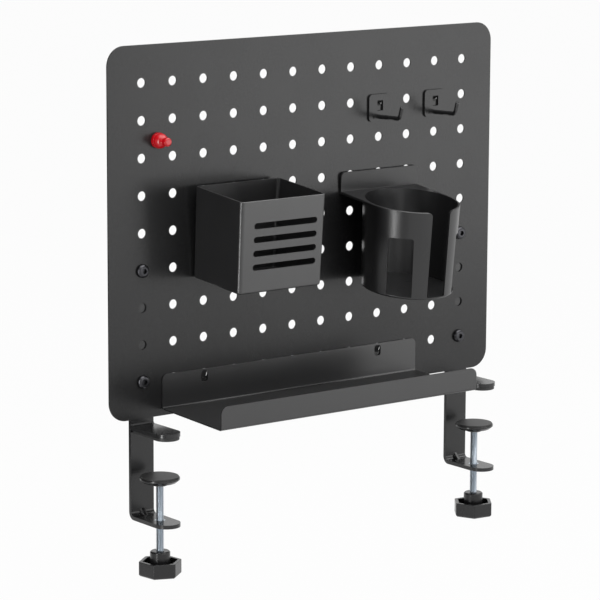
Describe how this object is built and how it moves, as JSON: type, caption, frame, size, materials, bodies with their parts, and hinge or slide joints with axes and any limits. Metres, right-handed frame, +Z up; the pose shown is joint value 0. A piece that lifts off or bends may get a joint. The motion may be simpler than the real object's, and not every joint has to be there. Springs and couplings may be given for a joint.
{
  "type": "clamp-on desk pegboard",
  "caption": "Perforated steel panel on screw clamps that grip a desk's back edge, with a hanging folded tray, slotted pen box, handled-cup holder, hooks and a magnetic push pin.",
  "frame": {"origin": "on the desk's top surface at its back edge, midway between the two clamps", "axes": "+X to the right for the person at the desk, +Y away from them through the panel, +Z up; the panel's back lies in the plane Y = 0"},
  "size_m": [0.5, 0.1197, 0.5376],
  "materials": {
    "panel_coat": "satin black powder coat",
    "clamp_coat": "satin black powder coat",
    "accessory_coat": "satin black powder coat",
    "black_plastic": "satin moulded plastic",
    "knob_plastic": "fine matt moulded plastic",
    "zinc": "bright zinc plate",
    "black_bolt": "black oxide",
    "pad_rubber": "matt",
    "pin_plastic": "glossy red",
    "magnet": "nickel plate"
  },
  "bodies": {
    "frame": {"peg_panel": "panel_coat", "left_clamp_frame": "clamp_coat", "left_upper_jaw": "clamp_coat", "left_jaw_pad": "pad_rubber", "left_clinch_nut": "zinc", "left_panel_bolts": "black_bolt", "left_panel_nuts": "black_bolt", "right_clamp_frame": "clamp_coat", "right_upper_jaw": "clamp_coat", "right_jaw_pad": "pad_rubber", "right_clinch_nut": "zinc", "right_panel_bolts": "black_bolt", "right_panel_nuts": "black_bolt"},
    "left_foot": {"left_pressure_disc": "clamp_coat", "left_disc_pad": "pad_rubber"},
    "left_screw": {"left_clamp_screw": "zinc", "left_clamp_knob": "knob_plastic", "left_retaining_clip": "zinc"},
    "left_hook": {"left_hook_plate": "accessory_coat", "left_hook_rod": "accessory_coat"},
    "right_foot": {"right_pressure_disc": "clamp_coat", "right_disc_pad": "pad_rubber"},
    "right_screw": {"right_clamp_screw": "zinc", "right_clamp_knob": "knob_plastic", "right_retaining_clip": "zinc"},
    "right_hook": {"right_hook_plate": "accessory_coat", "right_hook_rod": "accessory_coat"},
    "tray": {"tray": "accessory_coat"},
    "pen_box": {"pen_box": "black_plastic"},
    "cup_holder": {"cup_holder": "black_plastic"},
    "push_pin": {"push_pin_cap": "pin_plastic", "push_pin_magnet": "magnet"}
  },
  "joints": [
    {"name": "left_foot_rise", "type": "slide", "parent": "frame", "child": "left_foot", "axis": [0, 0, 1], "range_m": [-0.0361, 0.0255]},
    {"name": "left_screw_turn", "type": "hinge", "parent": "left_foot", "child": "left_screw", "pos_m": [-0.209, -0.031, -0.1], "axis": [0, 0, 1], "range_deg": [-10403, 7350]},
    {"name": "right_foot_rise", "type": "slide", "parent": "frame", "child": "right_foot", "axis": [0, 0, 1], "range_m": [-0.0361, 0.0255]},
    {"name": "right_screw_turn", "type": "hinge", "parent": "right_foot", "child": "right_screw", "pos_m": [0.209, -0.031, -0.1], "axis": [0, 0, 1], "range_deg": [-10403, 7350]},
    {"name": "tray_lift", "type": "slide", "parent": "frame", "child": "tray", "axis": [0, -0.4277, 0.9039], "range_m": [0, 0.0115]},
    {"name": "pen_box_lift", "type": "slide", "parent": "frame", "child": "pen_box", "axis": [0, 0, 1], "range_m": [0, 0.0034]},
    {"name": "cup_holder_lift", "type": "slide", "parent": "frame", "child": "cup_holder", "axis": [0, 0, 1], "range_m": [0, 0.0034]},
    {"name": "left_hook_lift", "type": "slide", "parent": "frame", "child": "left_hook", "axis": [0, -0.66, 0.7513], "range_m": [0, 0.011]},
    {"name": "right_hook_lift", "type": "slide", "parent": "frame", "child": "right_hook", "axis": [0, -0.66, 0.7513], "range_m": [0, 0.011]},
    {"name": "push_pin_pull", "type": "slide", "parent": "frame", "child": "push_pin", "axis": [0, -1, 0], "range_m": [0, 0.025]}
  ],
  "couplings": [
    {"joint": "left_screw_turn", "follows": "left_foot_rise", "rad_per_m": 5026.5},
    {"joint": "right_screw_turn", "follows": "right_foot_rise", "rad_per_m": 5026.5}
  ]
}
